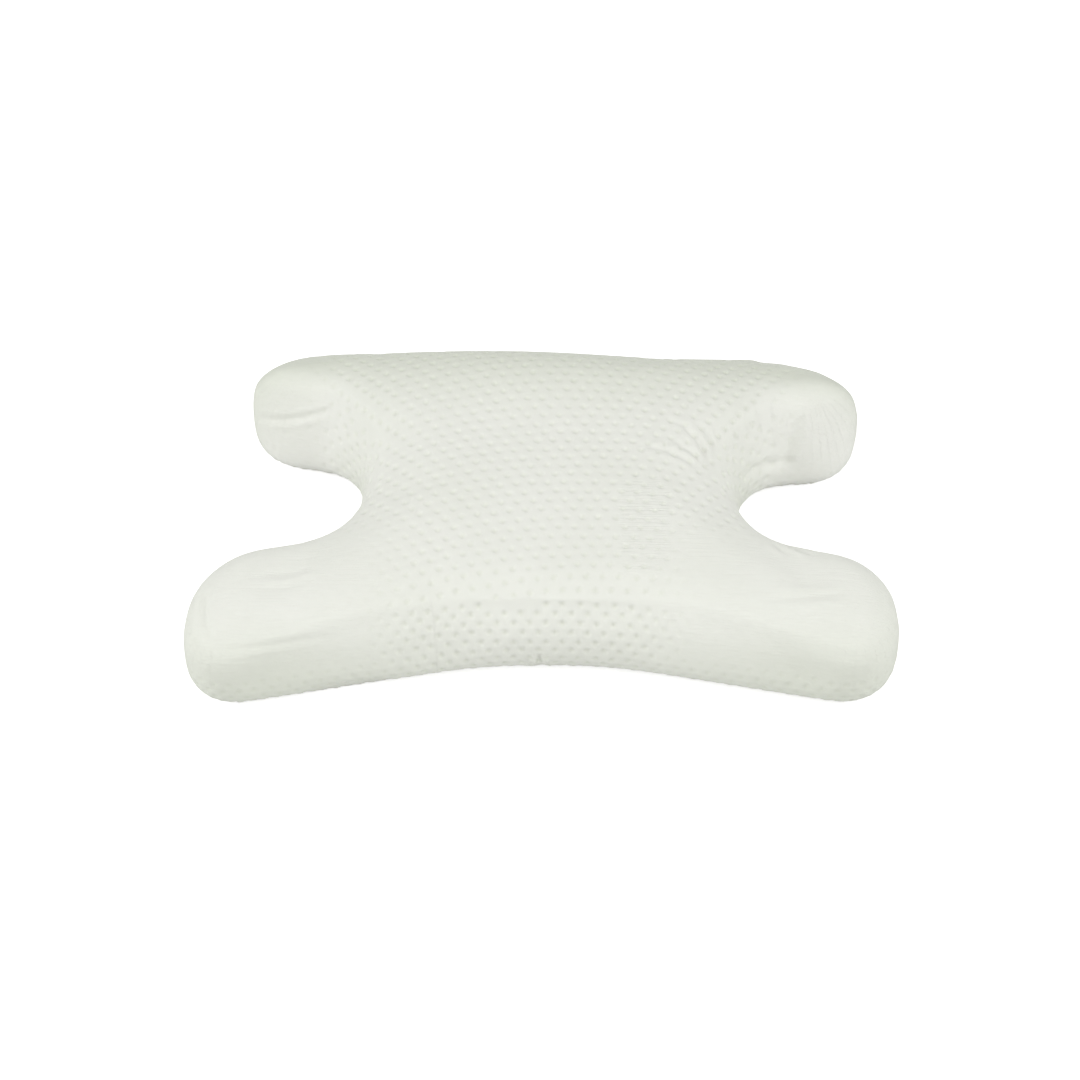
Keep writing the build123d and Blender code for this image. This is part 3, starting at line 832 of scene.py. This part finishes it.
wire(
    tree,
    (place, "Object", spread, "Vector"),
    (spread, "X", top_loops, "Across"),
    (spread, "Y", top_loops, "Up"),
    (wall_place, "Vector", wall_spread, "Vector"),
    (wall_spread, "X", wall_loops, "Across"),
    (wall_spread, "Y", wall_loops, "Up"),
    (wall_spread, "Z", loops, "Factor"),
    (top_loops, "Height", loops, "A"),
    (wall_loops, "Height", loops, "B"),
    (place, "Object", yarn, "Vector"),
    (low, "Fac", painted_shade_and_light_mix, "Factor"),
    (yarn, "Colour", painted_shade_and_light_mix, "A"),
    (pit, "Fac", pit_painted_shade, "Factor"),
    (painted_shade_and_light_mix, "Result", pit_painted_shade, "A"),
    (pit_painted_shade, "Result", shader, "Base Color"),
    (place, "Object", stretch, "Vector"),
    (stretch, "Vector", streaks, "Vector"),
    (streaks, "Fac", streak_share, 0),
    (tight, "Fac", streak_share, 1),
    (streak_share, 0, drawn, "Height"),
    (drawn, "Normal", weave, "Normal"),
    (loops, "Result", weave, "Height"),
    (yarn, "Fuzz", fluff, "Height"),
    (weave, "Normal", fluff, "Normal"),
    (fluff, "Normal", shader, "Normal"),
)
top_panel.data.materials.append(velour)

# ---- Zip tapes ----
# Two narrow woven polyester tapes, one above the other, sewn behind the turned edges of the
# opening. A row of stitching through the cover holds both, and a dense bar tack closes each end.
TAPE_COLOUR = (0.79, 0.795, 0.735, 1)
TWILL = 0.0009
STITCH_LENGTH, STITCH_GAP, THREAD_RADIUS = 0.0026, 0.0005, 0.00021
TACK_HALF_HEIGHT, TACK_ROWS, TACK_STEP = 0.0052, 5, 0.00045

woven_tape, tree, shader = new_material("woven_tape", 0.75, sheen=0.1)
place = add_node(tree, "ShaderNodeTexCoord")
split = add_node(tree, "ShaderNodeSeparateXYZ")
bands = add_node(tree, "ShaderNodeMath", operation="PINGPONG")
bands.inputs[1].default_value = 2.2 * TWILL
slant = add_node(tree, "ShaderNodeMath", operation="ADD")
turns = add_node(tree, "ShaderNodeMath", operation="MULTIPLY")
turns.inputs[1].default_value = 2 * math.pi / TWILL
ridge = add_node(tree, "ShaderNodeMath", operation="SINE")
yarn = use_group(tree, yarn_tone, Light=TAPE_COLOUR, Deep=(0.71, 0.72, 0.65, 1))
weave = add_node(tree, "ShaderNodeBump", Strength=0.8, Distance=0.00015)
wire(
    tree,
    (place, "Object", split, "Vector"),
    (place, "Object", yarn, "Vector"),
    (split, "Z", bands, 0),
    (split, "X", slant, 0),
    (bands, 0, slant, 1),
    (slant, 0, turns, 0),
    (turns, 0, ridge, 0),
    (ridge, 0, weave, "Height"),
    (yarn, "Colour", shader, "Base Color"),
    (weave, "Normal", shader, "Normal"),
)
for node in ("zip_tape_upper", "zip_tape_lower"):
    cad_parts[node].data.materials[0] = woven_tape


def add_stitch(bm, middle, half_length, turned):
    """One stitch lying on the rear wall: a thread that dips into the cloth at both ends."""
    made = bmesh.ops.create_uvsphere(bm, u_segments=6, v_segments=6, radius=1.0)["verts"]
    bmesh.ops.scale(bm, vec=(THREAD_RADIUS, THREAD_RADIUS, half_length), verts=made)
    lay = Matrix.Rotation(math.radians(90 - turned), 3, "Y")
    bmesh.ops.rotate(bm, cent=(0, 0, 0), matrix=lay, verts=made)
    bmesh.ops.translate(bm, vec=middle, verts=made)


def run_of_stitches(bm, start, end, height):
    """Even stitches from one corner of the row to the next."""
    length = (end - start).length
    count = round(length / (STITCH_LENGTH + STITCH_GAP))
    turned = 0 if abs(end.x - start.x) > abs(end.z - start.z) else 90
    for i in range(count):
        middle = start.lerp(end, (i + 0.5) / count)
        add_stitch(bm, middle + Vector((0, height, 0)), length / count / 2 - STITCH_GAP / 2, turned)


row_x, row_z = OPENING_HALF_X + STITCH_INSET, OPENING_HALF_Z + STITCH_INSET
row_corners = [
    Vector((x * row_x, REAR_Y, ZIP_Z + z * row_z)) for x, z in ((-1, -1), (1, -1), (1, 1), (-1, 1))
]
stitch_bm = bmesh.new()
for start, end in zip(row_corners, row_corners[1:] + row_corners[:1]):
    run_of_stitches(stitch_bm, start, end, -0.00012)
for side in (-1, 1):
    for i in range(TACK_ROWS):
        x = side * (OPENING_HALF_X + 0.0013 + i * TACK_STEP)
        add_stitch(stitch_bm, Vector((x, REAR_Y + 0.0002, ZIP_Z)), TACK_HALF_HEIGHT, 90)
topstitch = piece_from(stitch_bm, "zip_topstitching")
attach(topstitch, "pillow")

thread, tree, shader = new_material("sewing_thread", 0.55, sheen=0.2)
place = add_node(tree, "ShaderNodeTexCoord")
twist = add_node(tree, "ShaderNodeTexWave", wave_type="BANDS", bands_direction="DIAGONAL", Scale=1900.0)
# painted sheen: the twist is drawn as diagonal bands, lighter along each ply where a shine would fall
ply_painted_shine = add_node(tree, "ShaderNodeMix", data_type="RGBA")
ply_painted_shine.inputs["A"].default_value = (0.78, 0.785, 0.72, 1)
ply_painted_shine.inputs["B"].default_value = (0.86, 0.865, 0.82, 1)
ply = add_node(tree, "ShaderNodeBump", Strength=0.6, Distance=0.00006)
wire(
    tree,
    (place, "Object", twist, "Vector"),
    (twist, "Fac", ply_painted_shine, "Factor"),
    (ply_painted_shine, "Result", shader, "Base Color"),
    (twist, "Fac", ply, "Height"),
    (ply, "Normal", shader, "Normal"),
)
topstitch.data.materials.append(thread)

# ---- Zip teeth ----
# Moulded nylon teeth on a stiff cord along each tape's inner edge. Each tooth has a narrow neck
# and a broad round head, and the heads of one row lock between the necks of the other.
TOOTH_PITCH, TOOTH_THICK = 0.0028, 0.0011
HEAD_SPREAD, NECK_SPREAD = 1.30, 0.80
TOOTH_ROUND, CORD_ROUND = 0.00018, 0.00045
CORD_WIDTH = 0.0013


def block(bm, low, high):
    """Box between two corners, as the vertices that it is made of."""
    made = bmesh.ops.create_cube(bm, size=1.0)["verts"]
    bmesh.ops.scale(bm, vec=high - low, verts=made)
    bmesh.ops.translate(bm, vec=(low + high) / 2, verts=made)
    return made


def soften(bm, edges, size, segments=2):
    bmesh.ops.bevel(
        bm, geom=edges, affect="EDGES", offset_type="OFFSET", offset=size,
        segments=segments, profile=0.5, material=-1, clamp_overlap=True,
    )


def tooth_mesh(low, high, root_is_up):
    """One tooth about x = 0, between two heights, its head away from the cord."""
    bm = bmesh.new()
    block(bm, Vector((-TOOTH_THICK / 2, low.y, low.z)), Vector((TOOTH_THICK / 2, high.y, high.z)))
    span = high.z - low.z
    head_end = low.z if root_is_up else high.z
    inward = 1 if root_is_up else -1
    for share in (0.28, 0.55):
        bmesh.ops.bisect_plane(
            bm, geom=bm.verts[:] + bm.edges[:] + bm.faces[:], dist=1e-7,
            plane_co=(0, 0, head_end + inward * share * span), plane_no=(0, 0, 1),
        )
    for vertex in bm.verts:
        from_head = abs(vertex.co.z - head_end) / span
        spread = HEAD_SPREAD if 0.1 < from_head < 0.4 else NECK_SPREAD if from_head > 0.4 else 1.0
        vertex.co.x *= spread
    soften(bm, [edge for edge in bm.edges if edge.calc_face_angle(0) > 0.6], TOOTH_ROUND)
    mesh = bpy.data.meshes.new("tooth")
    bm.to_mesh(mesh)
    bm.free()
    return mesh


def teeth_row(node, name, root_is_up):
    """A row of teeth with its cord, where the frame has that row."""
    low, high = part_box(node)
    cord_near = high.z - CORD_WIDTH if root_is_up else low.z
    bm = bmesh.new()
    cord_low = Vector((low.x, low.y + 0.0002, cord_near))
    block(bm, cord_low, Vector((high.x, high.y - 0.0002, cord_near + CORD_WIDTH)))
    soften(bm, [e for e in bm.edges if abs(e.verts[0].co.x - e.verts[1].co.x) > 0.01], CORD_ROUND, 3)
    reach = CORD_WIDTH / 2
    tooth = tooth_mesh(
        Vector((0, low.y, low.z if root_is_up else low.z + reach)),
        Vector((0, high.y, high.z - reach if root_is_up else high.z)), root_is_up,
    )
    start = low.x + TOOTH_THICK / 2 + (0 if root_is_up else TOOTH_PITCH / 2)
    for i in range(int((high.x - start - TOOTH_THICK / 2) / TOOTH_PITCH) + 1):
        held = len(bm.verts)
        bm.from_mesh(tooth)
        bm.verts.ensure_lookup_table()
        bmesh.ops.translate(bm, vec=(start + i * TOOTH_PITCH, 0, 0), verts=bm.verts[held:])
    row = piece_from(bm, name, smooth=False)
    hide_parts(node)
    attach(row, "pillow")
    return row


nylon, tree, shader = new_material("moulded_nylon", 0.38)
shader.inputs["Specular IOR Level"].default_value = 0.5
place = add_node(tree, "ShaderNodeTexCoord")
flow = add_node(tree, "ShaderNodeTexNoise", Scale=420.0, Detail=3.0)
tint = add_node(tree, "ShaderNodeMix", data_type="RGBA")
tint.inputs["A"].default_value = (0.80, 0.805, 0.745, 1)
tint.inputs["B"].default_value = (0.74, 0.745, 0.68, 1)
gloss = add_node(tree, "ShaderNodeMapRange")
gloss.inputs["To Min"].default_value = 0.28
gloss.inputs["To Max"].default_value = 0.50
grain = add_node(tree, "ShaderNodeBump", Strength=0.25, Distance=0.00005)
wire(
    tree,
    (place, "Object", flow, "Vector"),
    (flow, "Fac", tint, "Factor"),
    (flow, "Fac", gloss, "Value"),
    (flow, "Fac", grain, "Height"),
    (tint, "Result", shader, "Base Color"),
    (gloss, "Result", shader, "Roughness"),
    (grain, "Normal", shader, "Normal"),
)
for node, name, root_is_up in (
    ("zip_teeth_upper", "upper_teeth_row", True), ("zip_teeth_lower", "lower_teeth_row", False)
):
    teeth_row(node, name, root_is_up).data.materials.append(nylon)

# ---- Stops, slider and pull ----
# The end stops are small aluminium clips pressed on to the tapes. The slider and its pull are
# cast in zinc and enamelled off-white, and the enamel is worn thin and dull in small spots.
aluminium, tree, shader = new_material("pressed_aluminium", 0.35)
shader.inputs["Metallic"].default_value = 1.0
place = add_node(tree, "ShaderNodeTexCoord")
stretch = add_node(tree, "ShaderNodeMapping")
stretch.inputs["Scale"].default_value = (2600.0, 500.0, 500.0)
brushed = add_node(tree, "ShaderNodeTexNoise", Scale=1.0, Detail=3.0)
dull = add_node(tree, "ShaderNodeMapRange")
dull.inputs["To Min"].default_value = 0.42
dull.inputs["To Max"].default_value = 0.66
tone = add_node(tree, "ShaderNodeMix", data_type="RGBA")
tone.inputs["A"].default_value = (0.66, 0.66, 0.64, 1)
tone.inputs["B"].default_value = (0.54, 0.54, 0.52, 1)
lines = add_node(tree, "ShaderNodeBump", Strength=0.3, Distance=0.00003)
wire(
    tree,
    (place, "Object", stretch, "Vector"),
    (stretch, "Vector", brushed, "Vector"),
    (brushed, "Fac", dull, "Value"),
    (brushed, "Fac", tone, "Factor"),
    (brushed, "Fac", lines, "Height"),
    (dull, "Result", shader, "Roughness"),
    (tone, "Result", shader, "Base Color"),
    (lines, "Normal", shader, "Normal"),
)
for node in ("zip_top_stops", "zip_bottom_stop"):
    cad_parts[node].data.materials[0] = aluminium

enamel, tree, shader = new_material("off_white_enamel", 0.3)
shader.inputs["Coat Weight"].default_value = 0.35
place = add_node(tree, "ShaderNodeTexCoord")
rubbed = add_node(tree, "ShaderNodeTexNoise", Scale=700.0, Detail=5.0, Roughness=0.65)
worn = add_node(tree, "ShaderNodeMapRange")
worn.inputs["From Min"].default_value = 0.60
worn.inputs["From Max"].default_value = 0.74
dull = add_node(tree, "ShaderNodeMapRange")
dull.inputs["To Min"].default_value = 0.24
dull.inputs["To Max"].default_value = 0.50
tone = add_node(tree, "ShaderNodeMix", data_type="RGBA")
tone.inputs["A"].default_value = (0.80, 0.80, 0.745, 1)
tone.inputs["B"].default_value = (0.68, 0.68, 0.62, 1)
peel = add_node(tree, "ShaderNodeBump", Strength=0.2, Distance=0.00006)
wire(
    tree,
    (place, "Object", rubbed, "Vector"),
    (rubbed, "Fac", worn, "Value"),
    (rubbed, "Fac", dull, "Value"),
    (worn, "Result", tone, "Factor"),
    (tone, "Result", shader, "Base Color"),
    (dull, "Result", shader, "Roughness"),
    (rubbed, "Fac", peel, "Height"),
    (peel, "Normal", shader, "Normal"),
)
for node in ("zip_slider", "zip_pull_tab"):
    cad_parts[node].data.materials[0] = enamel

# ---- Floor, light and camera ----
# The pillow lies on a plain pale floor, in broad soft lights from both sides and from in front.
CAMERA_AZIMUTH, CAMERA_ELEVATION, CAMERA_ROLL = 2.2, 46.0, -0.75
CAMERA_DISTANCE = 2.2
LENS, SENSOR = 101.2, 36.0  # millimetres
AIM_ACROSS, AIM_UP = -0.0065, -0.0170


def seen_directly(tree):
    """Last node of three that say 1 where the camera, a reflection or a clear piece shows the surface."""
    path = add_node(tree, "ShaderNodeLightPath")
    first = add_node(tree, "ShaderNodeMath", operation="MAXIMUM")
    last = add_node(tree, "ShaderNodeMath", operation="MAXIMUM")
    wire(
        tree,
        (path, "Is Camera Ray", first, 0),
        (path, "Is Glossy Ray", first, 1),
        (first, 0, last, 0),
        (path, "Is Transmission Ray", last, 1),
    )
    return last


floor_bm = bmesh.new()
bmesh.ops.create_grid(floor_bm, x_segments=1, y_segments=1, size=6.0)
floor = piece_from(floor_bm, "floor", smooth=False)
floor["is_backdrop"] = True
pale, tree, shader = new_material("pale_floor", 0.9)
shader.inputs["Base Color"].default_value = (0.80, 0.80, 0.80, 1)
seen = seen_directly(tree)
glow = add_node(tree, "ShaderNodeEmission", Strength=0.62)
join = add_node(tree, "ShaderNodeAddShader")
pick = add_node(tree, "ShaderNodeMixShader")
output = tree.nodes["Material Output"]
wire(
    tree,
    (shader, "BSDF", join, 0),
    (glow, "Emission", join, 1),
    (seen, 0, pick, "Fac"),
    (shader, "BSDF", pick, 1),
    (join, "Shader", pick, 2),
    (pick, "Shader", output, "Surface"),
)
floor.data.materials.append(pale)

world = bpy.data.worlds.new("studio")
bpy.context.scene.world = world
world.use_nodes = True
tree = world.node_tree
background = tree.nodes["Background"]
background.inputs["Color"].default_value = (1, 1, 1, 1)
seen = seen_directly(tree)
level = add_node(tree, "ShaderNodeMapRange")
level.inputs["To Min"].default_value = 0.52
level.inputs["To Max"].default_value = 1.0
wire(
    tree,
    (seen, 0, level, "Value"),
    (level, "Result", background, "Strength"),
)


def soft_light(name, place, aim, size, power):
    data = bpy.data.lights.new(name, "AREA")
    data.shape = "DISK"
    data.size = size
    data.energy = power
    lamp = bpy.data.objects.new(name, data)
    lamp.location = place
    lamp.rotation_euler = (Vector(aim) - Vector(place)).to_track_quat("-Z", "Y").to_euler()
    bpy.context.collection.objects.link(lamp)


soft_light("left_light", (-2.0, -0.3, 1.3), (0, 0, 0.05), 1.2, 19)
soft_light("right_light", (2.0, -0.3, 1.3), (0, 0, 0.05), 1.2, 16)
soft_light("front_light", (0.1, -1.6, 1.9), (0, 0, 0.05), 1.2, 15)

camera_data = bpy.data.cameras.new("camera")
camera_data.sensor_width = SENSOR
camera_data.lens = LENS
camera = bpy.data.objects.new("camera", camera_data)
bpy.context.collection.objects.link(camera)
azimuth, elevation = math.radians(CAMERA_AZIMUTH), math.radians(CAMERA_ELEVATION)
back = Vector((
    math.sin(azimuth) * math.cos(elevation), -math.cos(azimuth) * math.cos(elevation), math.sin(elevation)
))
turn = (-back).to_track_quat("-Z", "Y").to_matrix() @ Matrix.Rotation(math.radians(CAMERA_ROLL), 3, "Z")
aim = Vector((0, 0, HEIGHT / 2)) + turn @ Vector((AIM_ACROSS, AIM_UP, 0))
camera.matrix_world = Matrix.Translation(aim + back * CAMERA_DISTANCE) @ turn.to_4x4()
bpy.context.scene.camera = camera
bpy.context.scene.view_settings.view_transform = "Standard"

low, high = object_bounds()
